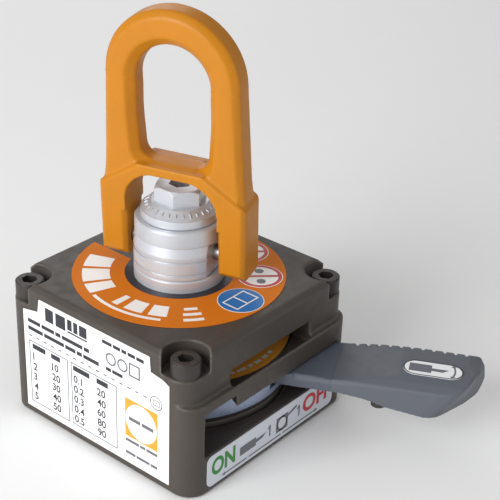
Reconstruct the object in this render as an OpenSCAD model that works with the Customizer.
// Switchable lifting magnet with a swivelling shackle.
// Origin: swivel axis on the contact face. +Z up, -Y is the face with the lever slot.

/* [Housing] */
// width across the housing
body_w = 86; // [70:0.5:110]
// height of the housing
body_h = 53.4; // [45:0.1:70]
// radius of the vertical corners
body_r = 7.5; // [4:0.1:12]
// how far the lower part stands out at the slot face
ledge_out = 2.4; // [1:0.1:4]
// height of the ledge
ledge_z = 35.8; // [34:0.1:40]
// bevel along the top edges
top_bevel = 1.8; // [0.5:0.1:3]
// centre of each corner screw, in from the housing faces
screw_inset = 5.9; // [5.5:0.1:9]
// radius of the round pocket at each corner
pocket_r = 7.8; // [7:0.1:9]
// floor height of the corner pockets
pocket_z = 45.4; // [42:0.1:48]

/* [Lever slot] */
// lower edge of the slot
slot_z0 = 14.7; // [12.5:0.1:16]
// upper edge of the slot
slot_z1 = 27.6; // [25:0.1:29]
// half length of the slot on the front face
slot_half = 36.9; // [34:0.1:38]
// half length of the front window
window_half = 21.3; // [15:0.1:25]
// upper edge of the front window
window_z1 = 41.4; // [39:0.1:44]

/* [Rotor] */
// outer radius of the rotor hub
rotor_r = 40.4; // [38:0.1:40.6]
// radius of the centre pin
centre_pin_r = 6; // [4:0.5:8]
// number of poles, fixed and turning
poles = 8; // [8:2:8]
// direction of the lever in the off position, from +X
lever_angle = -62.5; // [-64:0.5:-60]

/* [Lever] */
// distance from the rotor axis to the lever's cross pin
lever_pin_x = 27; // [24:0.5:30]
// height of the lever's cross pin
lever_pin_z = 25; // [24:0.1:26]
// radius of the lever's cross pin
lever_pin_r = 1.5; // [1:0.1:2]
// reach of the lever from the rotor axis
lever_reach = 110.3; // [100:0.1:120]

/* [Swivel and shackle] */
// direction of the shackle pins, from +X
swivel_angle = -73.4; // [-180:0.1:180]
// lean of the shackle from upright
shackle_lean = 3.5; // [0:0.1:10]
// radius of the swivel body
swivel_r = 16.1; // [15:0.1:17]
// height of the shackle pins
pin_z = 65.2; // [64:0.1:67]
// radius of the shackle pins
pin_r = 3; // [2.5:0.1:3.5]
// half distance over the flats of the swivel body
flat_half = 14; // [12:0.1:15]
// half distance between the shackle legs
leg_in = 17.3; // [16.8:0.1:19]
// half width over the shackle legs
leg_out = 27.5; // [25:0.1:29]
// thickness of the shackle legs
leg_t = 14; // [12:0.1:15]
// thickness of the shackle bow
bow_t = 11.2; // [9:0.1:12]
// outer radius of the shackle bow
bow_out = 24.3; // [22:0.1:26]
// radius of the top of the shackle's eye
eye_r = 14.4; // [12:0.1:15]
// half width of the eye at its foot
eye_low = 12.6; // [10:0.1:13]
// bow centre above the shackle pins
bow_h = 62.2; // [58:0.1:65]

/* [Hidden] */
$fn = 96;
eps = 0.01;
half = body_w / 2;
front_y = -half - ledge_out;
low_d = body_w + ledge_out;
screw_c = half - screw_inset;
cavity_r = rotor_r + 0.6;
base_w = body_w - 4;
base_d = low_d - 4;
step = 360 / poles;
base_top = 12;
cage_z = 12.3;
yoke_z = 16;
hub_z = 18;
hub_top = 31.7;
disc_top = 32;
ceiling_z = 33.5;
grip_screw_t = 9.5;
grip_x = 59;
yoke_top = 31.4;
bow_low = 25.7;
eye_z = 61;
eye_foot_r = 4.5;
eye_foot_x = eye_low - eye_foot_r;
eye_foot_z = 36.5;

// ---- shared shapes ----

// rounded slab of w by d, standing on z = 0
module slab(w, d, r, h) {
    union() {
        translate([-w / 2 + r, -d / 2, 0])
            cube([w - 2 * r, d, h]);
        translate([-w / 2, -d / 2 + r, 0])
            cube([w, d - 2 * r, h]);
        for (sx = [-1, 1])
            for (sy = [-1, 1])
                translate([sx * (w / 2 - r), sy * (d / 2 - r), 0])
                    cylinder(r = r, h = h);
    }
}

// outline of a bevelled slab's side, w wide
module bevel_side(w, h, c) {
    polygon([[-w / 2, 0], [w / 2, 0], [w / 2, h - c], [w / 2 - c, h], [-w / 2 + c, h], [-w / 2, h - c]]);
}

// rounded slab with a bevel c round its top edge
module bevel_slab(w, d, r, h, c) {
    union() {
        rotate([90, 0, 0])
            translate([0, 0, -d / 2 + r])
                linear_extrude(d - 2 * r)
                    bevel_side(w, h, c);
        rotate([90, 0, 90])
            translate([0, 0, -w / 2 + r])
                linear_extrude(w - 2 * r)
                    bevel_side(d, h, c);
        for (sx = [-1, 1])
            for (sy = [-1, 1])
                translate([sx * (w / 2 - r), sy * (d / 2 - r), 0]) {
                    cylinder(r = r, h = h - c);
                    translate([0, 0, h - c])
                        cylinder(r1 = r, r2 = r - c, h = c);
                }
    }
}

// places children at the four corner screws
module at_corners() {
    for (sx = [-1, 1])
        for (sy = [-1, 1])
            translate([sx * screw_c, sy * screw_c, 0])
                children();
}

// flat ring
module ring(ro, ri, h) {
    difference() {
        cylinder(r = ro, h = h);
        translate([0, 0, -1])
            cylinder(r = ri, h = h + 2);
    }
}

// wedge-shaped piece of a ring, a degrees wide, centred on +X, with its sides pulled in by g
module sector(ro, ri, a, g, h) {
    reach = ro * 1.5;
    linear_extrude(h)
        intersection() {
            difference() {
                circle(r = ro);
                circle(r = ri);
            }
            translate([g / sin(a / 2), 0])
                polygon([[0, 0], [reach * cos(a / 2), -reach * sin(a / 2)],
                    [reach * cos(a / 2), reach * sin(a / 2)]]);
        }
}

// ring of wedges, one per pole
module sectors(ro, ri, g, h) {
    for (i = [0:poles - 1])
        rotate([0, 0, (i + 0.5) * step])
            sector(ro, ri, step, g, h);
}

// lever frame: +X outward along the lever
module lever_frame() {
    rotate([0, 0, lever_angle])
        children();
}

// swivel frame: +X along the shackle pins
module swivel_frame() {
    rotate([0, 0, swivel_angle])
        children();
}

// bar profile, w across and t thick, with corners cut by c
module bar(w, t, c) {
    polygon([[-w / 2 + c, -t / 2], [w / 2 - c, -t / 2], [w / 2, -t / 2 + c], [w / 2, t / 2 - c],
        [w / 2 - c, t / 2], [-w / 2 + c, t / 2], [-w / 2, t / 2 - c], [-w / 2, -t / 2 + c]]);
}

// ---- housing group ----

module slot_cut() {
    // the slot's ends lean with the lever's edge
    back = 27;
    inner = slot_half - back * 0.52;
    translate([0, 0, slot_z0])
        linear_extrude(slot_z1 - slot_z0)
            polygon([[-slot_half, front_y - 1], [slot_half, front_y - 1],
                [inner, front_y + back], [-inner, front_y + back]]);
    // lock notch above the on end
    translate([0, 0, slot_z1 - eps])
        linear_extrude(4.4)
            polygon([[-slot_half, front_y - 1], [-21, front_y - 1],
                [-14, front_y + 14], [-slot_half + 8, front_y + 14]]);
}

// the whole casting
module casting() {
    union()
        difference() {
            union() {
                translate([0, 0, 0.2])
                    bevel_slab(body_w, body_w, body_r, body_h - 0.2, top_bevel);
                translate([0, -ledge_out / 2, 0.2])
                    slab(body_w, low_d, body_r, ledge_z - 0.2);
            }
            // cavity for the rotor
            translate([0, 0, base_top - 1])
                cylinder(r = cavity_r, h = ceiling_z - base_top + 1);
            // recess for the base plate
            translate([0, -ledge_out / 2, -1])
                slab(base_w + 0.1, base_d + 0.1, body_r - 1.95, base_top + 1);
            slot_cut();
            // front window with a thin lip in front of it
            translate([-window_half, front_y + 1.1, ceiling_z - 0.5])
                cube([2 * window_half, 15.5, window_z1 - ceiling_z + 0.5]);
            translate([-window_half, front_y - 1, ledge_z])
                cube([2 * window_half, 5, window_z1 - ledge_z]);
            at_corners() {
                translate([0, 0, pocket_z])
                    cylinder(r = pocket_r, h = 12);
                translate([0, 0, base_top - 1])
                    cylinder(r = 3.25, h = 40);
            }
            // bore for the thread insert
            translate([0, 0, ceiling_z - 1])
                cylinder(r = 9, h = 30);
        }
}

// the part of the casting between two heights
module casting_level(z0, z1) {
    color([0.24, 0.22, 0.2])
        intersection() {
            casting();
            translate([-body_w, -body_w, z0])
                cube([2 * body_w, 2 * body_w, z1 - z0]);
        }
}

module lower_frame() {
    casting_level(0, slot_z0);
}

module housing() {
    casting_level(slot_z0, slot_z1);
}

module cover() {
    casting_level(slot_z1, body_h + 1);
}

module thread_insert() {
    color([0.55, 0.55, 0.57])
        translate([0, 0, 35])
            ring(8.95, 6.05, body_h - 35.1);
}

module base_plate() {
    color([0.6, 0.6, 0.62])
        difference() {
            translate([0, -ledge_out / 2, 0])
                slab(base_w, base_d, body_r - 2, base_top);
            translate([0, 0, -1])
                sectors(38.1, 12.9, 0.8, base_top + 2);
            // seat of the centre pin
            translate([0, 0, 2])
                cylinder(r = centre_pin_r + 0.02, h = base_top);
            at_corners()
                translate([0, 0, 2])
                    cylinder(r = 3.05, h = base_top);
        }
}

module pole_shoes() {
    color([0.5, 0.5, 0.52])
        sectors(38, 13, 0.9, 5.9);
}

module fixed_magnets() {
    color([0.7, 0.7, 0.72])
        translate([0, 0, 6])
            sectors(38, 13, 0.9, 5.9);
}

module glide_ring() {
    color([0.9, 0.9, 0.88])
        translate([0, 0, base_top + 0.01])
            ring(40.2, 38.3, 0.25);
}

module centre_pin() {
    color([0.6, 0.6, 0.62])
        translate([0, 0, 2.1])
            difference() {
                cylinder(r = centre_pin_r, h = 31);
                // groove for the retaining ring
                translate([0, 0, 30.1])
                    ring(10, centre_pin_r - 0.5, 0.6);
            }
}

module retaining_ring() {
    color([0.3, 0.3, 0.32])
        translate([0, 0, 32.24])
            difference() {
                ring(7.6, centre_pin_r - 0.45, 0.5);
                translate([0, -0.9, -1])
                    cube([12, 1.8, 3]);
            }
}

module corner_screws() {
    color([0.2, 0.2, 0.21])
        at_corners()
            difference() {
                union() {
                    translate([0, 0, pocket_z + 0.02])
                        cylinder(r = 4.6, h = 5.9);
                    translate([0, 0, pocket_z + 0.02])
                        cylinder(r = 5, h = 5.5);
                    translate([0, 0, 2.4])
                        cylinder(r = 3, h = pocket_z - 2);
                }
                translate([0, 0, pocket_z + 2.9])
                    cylinder(r = 2.89, h = 4, $fn = 6);
            }
}

module ring_label() {
    // open at the back, behind the swivel
    gap_x = -5.2;
    far = 60;
    color([0.87, 0.47, 0.12])
        translate([0, 0, body_h + 0.01])
            linear_extrude(0.22)
                difference() {
                    circle(r = 37.8);
                    circle(r = 19.1);
                    polygon([[gap_x, 0], [0, 0], [far, far * tan(30)], [far, far], [gap_x, far]]);
                }
}

module side_label() {
    color([0.93, 0.93, 0.93])
        translate([-half - 0.01, 0, 0])
            rotate([90, 0, -90])
                linear_extrude(0.22)
                    polygon([[-34.1, 3], [35.6, 3], [35.6, 42.4], [32.7, 43.7], [27.4, 44.4],
                        [26.9, 50], [-25.7, 50], [-26.6, 44.7], [-34.1, 43.2]]);
}

module strip_label() {
    r = 2.5;
    color([0.82, 0.84, 0.87])
        translate([-0.6, front_y - 0.01, 0])
            rotate([90, 0, 0])
                linear_extrude(0.22)
                    union() {
                        translate([-34.6, 2 + r])
                            square([69.2, 12.4 - 2 * r]);
                        translate([-34.6 + r, 2])
                            square([69.2 - 2 * r, 12.4]);
                        for (sx = [-1, 1])
                            for (z = [2 + r, 14.4 - r])
                                translate([sx * (34.6 - r), z])
                                    circle(r = r);
                    }
}

// ---- swivel: pieces that stay with the housing ----

module swivel_base() {
    color([0.75, 0.76, 0.78])
        translate([0, 0, body_h + 0.02])
            difference() {
                union() {
                    cylinder(r = swivel_r, h = 4.1);
                    translate([0, 0, 4.1])
                        cylinder(r1 = swivel_r, r2 = swivel_r - 0.7, h = 0.7);
                }
                translate([0, 0, -1])
                    cylinder(r = 6.1, h = 8);
            }
}

module swivel_bolt() {
    collar_z = 76.75;
    color([0.76, 0.77, 0.79])
        difference() {
            union() {
                translate([0, 0, 36])
                    cylinder(r = 6, h = collar_z - 35.5);
                translate([0, 0, collar_z])
                    cylinder(r = 13.6, h = 2.9);
                translate([0, 0, collar_z + 2.9])
                    cylinder(r1 = 13.4, r2 = 9.9, h = 2.6);
                intersection() {
                    translate([0, 0, collar_z])
                        rotate([0, 0, 27.3])
                            cylinder(r = 9.24, h = 88.2 - collar_z, $fn = 6);
                    translate([0, 0, 86.9 - 16])
                        cylinder(r1 = 9.3 + 16, r2 = 9.3 - 1.3, h = 17.3);
                }
            }
            // hexagon socket
            translate([0, 0, 83.4])
                rotate([0, 0, 27.3])
                    cylinder(r = 4.05, h = 6, $fn = 6);
        }
}

module swivel_bush() {
    color([0.72, 0.6, 0.35])
        translate([0, 0, body_h + 4.84])
            ring(8.1, 6.04, 76.72 - body_h - 4.86);
}

// ---- rotor ----

module rotor_cage() {
    color([0.55, 0.53, 0.5])
        translate([0, 0, cage_z])
            difference() {
                ring(39.8, centre_pin_r + 0.05, yoke_z - cage_z - 0.02);
                translate([0, 0, -1])
                    sectors(38.1, 12.9, 0.8, 8);
                rotor_screw_holes();
            }
}

module rotor_magnets() {
    color([0.7, 0.7, 0.72])
        translate([0, 0, cage_z + 0.1])
            sectors(38, 13, 0.9, yoke_z - cage_z - 0.2);
}

module rotor_screw_holes() {
    for (i = [0:2])
        lever_frame()
            rotate([0, 0, 90 + 90 * i])
                translate([9.7, 0, -1])
                    cylinder(r = 1.3, h = 30);
}

module rotor_yoke() {
    color([0.42, 0.42, 0.44])
        translate([0, 0, yoke_z])
            difference() {
                ring(39.8, centre_pin_r + 0.06, hub_z - yoke_z - 0.02);
                rotor_screw_holes();
            }
}

module rotor_hub() {
    color([0.33, 0.36, 0.42])
        difference() {
            translate([0, 0, hub_z])
                ring(rotor_r, centre_pin_r + 0.06, hub_top - hub_z);
            translate([0, 0, hub_z - 2])
                rotor_screw_holes();
            // recesses of the rotor screws
            for (i = [0:2])
                lever_frame()
                    rotate([0, 0, 90 + 90 * i])
                        translate([9.7, 0, hub_top - 3])
                            cylinder(r = 2.5, h = 6);
            // pocket of the lever root
            lever_frame()
                translate([17, -15.4, 20.2])
                    cube([40, 27.4, 10.2]);
            // bore of the lever pin
            lever_frame()
                translate([lever_pin_x, -19, lever_pin_z])
                    rotate([-90, 0, 0])
                        cylinder(r = lever_pin_r, h = 34);
        }
}

module rotor_screws() {
    color([0.25, 0.25, 0.27])
        for (i = [0:2])
            lever_frame()
                rotate([0, 0, 90 + 90 * i])
                    translate([9.7, 0, 0])
                        difference() {
                            union() {
                                translate([0, 0, 13])
                                    cylinder(r = 1.25, h = hub_top - 15);
                                translate([0, 0, hub_top - 2.98])
                                    cylinder(r = 2.3, h = 2.6);
                            }
                            translate([0, 0, hub_top - 1.8])
                                cylinder(r = 1.15, h = 3, $fn = 6);
                        }
}

module rotor_label() {
    color([0.86, 0.46, 0.1])
        translate([0, 0, hub_top + 0.01])
            ring(rotor_r - 0.2, 8.2, disc_top - hub_top);
}

module lever_pin() {
    color([0.7, 0.7, 0.72])
        lever_frame()
            translate([lever_pin_x, -18.9, lever_pin_z])
                rotate([-90, 0, 0])
                    cylinder(r = lever_pin_r - 0.01, h = 33.7);
}

// ---- lever ----

// the lever seen from above
module lever_plan() {
    polygon([[19, -14.8], [60, -14.5], [72, -13.9], [90, -13.6], [93, -13], [95.5, -11.3],
        [lever_reach - 2.8, 2.5], [lever_reach - 0.7, 6], [lever_reach, 9],
        [lever_reach - 0.7, 11.4], [lever_reach - 2.7, 13], [lever_reach - 5.3, 13.6],
        [grip_x, 13.6], [grip_x, 11.3], [19, 11.3]]);
}

// the lever seen from the side
module lever_side() {
    polygon([[19, 22.3], [61, 22.3], [70, 21], [77, 18.9], [90, 16.8], [97, 16.2],
        [104, 17], [108.5, 19], [lever_reach, 22.5], [lever_reach - 0.5, 26],
        [lever_reach - 2.2, 28.2], [lever_reach - 6, 29.3], [81, 29.3], [74, 28.6], [66, 27.7],
        [58, 26.9], [52, 27.2], [19, 27.2]]);
}

// rounded roof across the lever
module lever_across() {
    polygon([[-14.9, 10], [-14.9, 25], [-13.4, 27.2], [-10.5, 28.7], [-7, 29.4], [0, 29.7], [7, 29.6],
        [10, 29.3], [12.6, 28.5], [13.7, 27.4], [13.7, 10]]);
}

module lever_body() {
    intersection() {
        linear_extrude(40)
            lever_plan();
        translate([0, 20, 0])
            rotate([90, 0, 0])
                linear_extrude(40)
                    lever_side();
        union() {
            // square shoulders at the root, with the lock lug on the on side
            translate([15, -20, 15])
                cube([30, 40, 14]);
            translate([40, 0, 0])
                rotate([90, 0, 90])
                    linear_extrude(80)
                        lever_across();
        }
    }
}

// the part of the lever that the grip covers
module grip_zone() {
    translate([grip_x, -20, 10])
        cube([60, 40, 30]);
}

module tang() {
    translate([50, -11, 22.6])
        cube([42, 22, 3.6]);
}

module lever_arm() {
    color([0.33, 0.35, 0.4])
        lever_frame()
            difference() {
                union() {
                    difference() {
                        lever_body();
                        grip_zone();
                    }
                    tang();
                }
                // bore of the cross pin
                translate([lever_pin_x, -20, lever_pin_z])
                    rotate([-90, 0, 0])
                        cylinder(r = lever_pin_r + 0.04, h = 40);
                // gap for the spring
                translate([10, -5, 20])
                    cube([22, 6, 10]);
                // holes of the grip screws
                for (t = [-grip_screw_t, grip_screw_t])
                    translate([75, t, 15])
                        cylinder(r = 1.55, h = 20);
            }
}

module lever_spring() {
    turns = 7;
    pitch = 0.72;
    color([0.75, 0.75, 0.77])
        lever_frame()
            translate([lever_pin_x, -4.5, lever_pin_z])
                rotate([-90, 0, 0])
                    for (i = [0:turns - 1])
                        translate([0, 0, 0.4 + i * pitch])
                            rotate_extrude()
                                translate([2.35, 0])
                                    circle(r = 0.34, $fn = 24);
}

module grip() {
    color([0.4, 0.41, 0.43])
        lever_frame()
            difference() {
                intersection() {
                    lever_body();
                    grip_zone();
                }
                // socket of the tang
                translate([50, -11.05, 22.55])
                    cube([42.1, 22.1, 3.7]);
                // finger notches along the far edge
                for (i = [0:10])
                    translate([64 + 3.9 * i, 14.6, 10])
                        cylinder(r = 1.5, h = 25);
                for (t = [-grip_screw_t, grip_screw_t])
                    translate([75, t, 10]) {
                        cylinder(r = 1.55, h = 13);
                        // recess under the head
                        cylinder(r = 2.75, h = 9.05);
                    }
            }
}

module grip_screws() {
    color([0.15, 0.15, 0.16])
        lever_frame()
            for (t = [-grip_screw_t, grip_screw_t])
                translate([75, t, 0]) {
                    translate([0, 0, 17])
                        cylinder(r = 2.7, h = 2);
                    translate([0, 0, 18])
                        cylinder(r = 1.5, h = 7.8);
                }
}

module lever_label() {
    color([0.95, 0.95, 0.95])
        lever_frame()
            translate([92.3, -1.8, 29.31])
                linear_extrude(0.2)
                    union() {
                        translate([-5.9, -4.6])
                            square([11.8, 9.2]);
                        for (sx = [-1, 1])
                            translate([sx * 5.9, 0])
                                circle(r = 4.6);
                    }
}

// ---- swivel: pieces that turn ----

module swivel_body() {
    z0 = body_h + 5.1;
    color([0.75, 0.76, 0.78])
        swivel_frame()
            difference() {
                union() {
                    translate([0, 0, z0])
                        cylinder(r = swivel_r, h = 67 - z0);
                    translate([0, 0, 67])
                        cylinder(r1 = swivel_r, r2 = 15.4, h = 3.6);
                }
                translate([0, 0, z0 - 1])
                    cylinder(r = 8.16, h = 20);
                // turned grooves
                for (z = [60.4, 65.2])
                    translate([0, 0, z - 0.35])
                        ring(20, swivel_r - 0.45, 0.7);
                for (sx = [-1, 1]) {
                    translate([sx * (flat_half + 5) - 5, -20, z0 - 1])
                        cube([10, 40, 20]);
                    // bore of the shackle pin
                    translate([0, 0, pin_z])
                        rotate([0, sx * 90, 0])
                            cylinder(r = pin_r, h = 20);
                }
            }
}

module upper_ring() {
    color([0.77, 0.78, 0.8])
        translate([0, 0, 70.68])
            difference() {
                union() {
                    cylinder(r = 15.8, h = 5.2);
                    translate([0, 0, 5.2])
                        cylinder(r1 = 15.8, r2 = 15.2, h = 0.7);
                }
                translate([0, 0, -1])
                    cylinder(r = 8.16, h = 10);
            }
}

module shackle_pins() {
    color([0.7, 0.7, 0.72])
        swivel_frame()
            for (sx = [-1, 1])
                translate([0, 0, pin_z])
                    rotate([0, sx * 90, 0])
                        translate([0, 0, 8.7])
                            cylinder(r = pin_r - 0.01, h = 16);
}

// one leg of the shackle, from its foot to the shoulder
module leg() {
    w = leg_out - leg_in;
    foot = -6.3;
    intersection() {
        translate([(leg_in + leg_out) / 2, 0, foot])
            linear_extrude(34)
                bar(w, leg_t, 1.5);
        translate([leg_in - 1, 0, 0])
            rotate([90, 0, 90])
                linear_extrude(w + 2)
                    polygon([[-leg_t / 2, 19], [-leg_t / 2, foot + 2.4], [-leg_t / 2 + 2.4, foot],
                        [leg_t / 2 - 2.4, foot], [leg_t / 2, foot + 2.4], [leg_t / 2, 19]]);
    }
}

// thick shoulders and crossbar over the bolt
module yoke() {
    arch_r = 11.5;
    arch_x = leg_in - arch_r;
    arch_z = 16.5;
    difference() {
        rotate([90, 0, 0])
            translate([0, 0, -leg_t / 2])
                linear_extrude(leg_t)
                    difference() {
                        polygon([[-leg_out, 12], [leg_out, 12], [leg_out, 20.9], [26.9, 22], [12.5, yoke_top],
                            [-12.5, yoke_top], [-26.9, 22], [-leg_out, 20.9]]);
                        translate([-leg_in, 0])
                            square([2 * leg_in, arch_z]);
                        translate([-arch_x, 0])
                            square([2 * arch_x, arch_z + arch_r]);
                        for (sx = [-1, 1])
                            translate([sx * arch_x, arch_z])
                                circle(r = arch_r);
                    }
        for (sx = [-1, 1]) {
            edge_cut([sx * 26.9, 22], [sx * 12.5, yoke_top], 0.9, leg_t / 2);
            edge_cut([sx * leg_out, 10], [sx * leg_out, 22.5], 1.5, leg_t / 2);
        }
    }
}

// cuts c off both edges, at y = t and y = -t, of the straight side from a to b
module edge_cut(a, b, c, t) {
    run = b - a;
    for (st = [-1, 1])
        translate([a[0], st * t, a[1]])
            rotate([0, atan2(run[0], run[1]), 0])
                rotate([0, 0, 45])
                    translate([-c / sqrt(2), -c / sqrt(2), 0])
                        cube([c * sqrt(2), c * sqrt(2), norm(run)]);
}

// cuts c off both edges of a round side of radius r, centred at p, from angle a0 on through a
module round_cut(p, r, c, a0, a) {
    for (st = [-1, 1])
        translate([p[0], 0, p[1]])
            rotate([90, 0, 0])
                rotate([0, 0, a0])
                    rotate_extrude(angle = a)
                        translate([r, st * bow_t / 2])
                            circle(r = c, $fn = 4);
}

// clear opening of the shackle, narrower at its foot
module eye() {
    union() {
        translate([0, eye_z])
            circle(r = eye_r);
        polygon([[-eye_r, eye_z], [-eye_low, eye_foot_z], [eye_low, eye_foot_z], [eye_r, eye_z]]);
        translate([-eye_foot_x, eye_foot_z - eye_foot_r])
            square([2 * eye_foot_x, eye_foot_r + 1]);
        for (sx = [-1, 1])
            translate([sx * eye_foot_x, eye_foot_z])
                circle(r = eye_foot_r);
    }
}

// the upper loop, thinner than the yoke
module bow() {
    inner_cut = 3;
    outer_cut = 2.2;
    difference() {
        rotate([90, 0, 0])
            translate([0, 0, -bow_t / 2])
                linear_extrude(bow_t)
                    difference() {
                        union() {
                            translate([0, bow_h])
                                circle(r = bow_out);
                            polygon([[-bow_out, bow_h], [-bow_low, 33], [-26.6, 21], [-12, 28.5],
                                [12, 28.5], [26.6, 21], [bow_low, 33], [bow_out, bow_h]]);
                        }
                        eye();
                    }
        round_cut([0, bow_h], bow_out, outer_cut, 0, 180);
        round_cut([0, eye_z], eye_r, inner_cut, 0, 180);
        for (sx = [-1, 1]) {
            edge_cut([sx * bow_low, 33], [sx * bow_out, bow_h], outer_cut, bow_t / 2);
            edge_cut([sx * eye_low, eye_foot_z], [sx * eye_r, eye_z], inner_cut, bow_t / 2);
        }
        round_cut([eye_foot_x, eye_foot_z], eye_foot_r, inner_cut, 270, 90);
        round_cut([-eye_foot_x, eye_foot_z], eye_foot_r, inner_cut, 180, 90);
    }
}

module shackle() {
    color([0.85, 0.52, 0.15])
        swivel_frame()
            translate([0, 0, pin_z])
                rotate([shackle_lean, 0, 0])
                    difference() {
                        union() {
                            for (a = [0, 180])
                                rotate([0, 0, a])
                                    leg();
                            yoke();
                            bow();
                        }
                        // blind bores for the pins
                        for (sx = [-1, 1])
                            rotate([0, sx * 90, 0])
                                cylinder(r = pin_r + 0.05, h = 25);
                    }
}

lower_frame();
housing();
cover();
thread_insert();
base_plate();
pole_shoes();
fixed_magnets();
glide_ring();
centre_pin();
retaining_ring();
corner_screws();
ring_label();
side_label();
strip_label();
swivel_base();
swivel_bolt();
swivel_bush();
rotor_cage();
rotor_magnets();
rotor_yoke();
rotor_hub();
rotor_screws();
rotor_label();
lever_pin();
lever_arm();
lever_spring();
grip();
grip_screws();
lever_label();
swivel_body();
upper_ring();
shackle_pins();
shackle();
